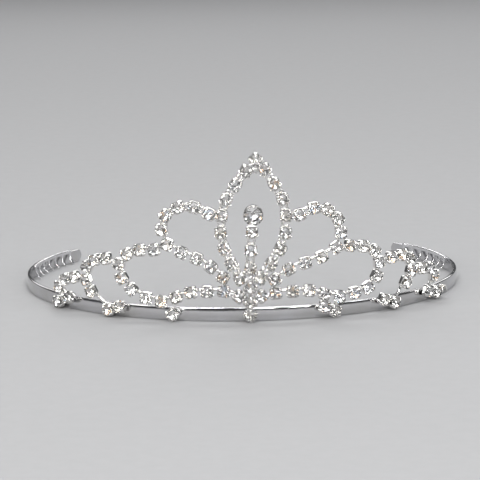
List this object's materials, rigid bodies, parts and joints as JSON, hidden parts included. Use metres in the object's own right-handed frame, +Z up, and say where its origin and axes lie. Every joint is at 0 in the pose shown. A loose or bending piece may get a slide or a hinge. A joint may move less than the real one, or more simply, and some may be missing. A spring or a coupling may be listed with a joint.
{
  "type": "bridal tiara",
  "caption": "Polished open headband carrying rhinestone cup chain bent into a pointed petal, loops and arcs, with a side comb inside each end.",
  "frame": {"origin": "middle of the part's bounding box on the level of the headband's lower edge, where the tiara stands", "axes": "+X to the right as seen from the front, +Y from the jewelled front to the open back, +Z up to the petal's point"},
  "size_m": [0.14, 0.1034, 0.0526],
  "materials": {
    "band_metal": "mirror polished",
    "setting_metal": "bright plated",
    "comb_metal": "bright plated",
    "crystal": "cut and foiled"
  },
  "bodies": {
    "root": {"headband": "band_metal", "side_comb_left": "comb_metal", "side_comb_right": "comb_metal", "petal_strand_left": "setting_metal", "petal_strand_right": "setting_metal", "stamen_strand": "setting_metal", "upper_loop_left": "setting_metal", "upper_loop_right": "setting_metal", "leaf_upper_left": "setting_metal", "leaf_upper_right": "setting_metal", "leaf_tip_left": "setting_metal", "leaf_tip_right": "setting_metal", "leaf_lower_left": "setting_metal", "leaf_lower_right": "setting_metal", "arc_2_left": "setting_metal", "arc_2_right": "setting_metal", "arc_3_left": "setting_metal", "arc_3_right": "setting_metal", "foot_1_left_setting": "setting_metal", "foot_1_left_stone_1": "crystal", "foot_1_right_setting": "setting_metal", "foot_1_right_stone_1": "crystal", "foot_1_right_stone_2": "crystal", "foot_2_left_setting": "setting_metal", "foot_2_left_stone_1": "crystal", "foot_2_left_stone_2": "crystal", "foot_2_right_setting": "setting_metal", "foot_2_right_stone_1": "crystal", "foot_2_right_stone_2": "crystal", "foot_3_left_setting": "setting_metal", "foot_3_left_stone_1": "crystal", "foot_3_left_stone_2": "crystal", "foot_3_right_setting": "setting_metal", "foot_3_right_stone_1": "crystal", "foot_3_right_stone_2": "crystal", "apex_setting": "setting_metal", "apex_stone": "crystal", "centre_top_setting": "setting_metal", "centre_top_stone": "crystal", "centre_left_setting": "setting_metal", "centre_left_stone": "crystal", "centre_right_setting": "setting_metal", "centre_right_stone": "crystal", "centre_low_setting": "setting_metal", "centre_low_stone": "crystal", "centre_foot_setting": "setting_metal", "centre_foot_stone": "crystal", "big_stone_setting": "setting_metal", "big_stone": "crystal"}
  },
  "joints": []
}
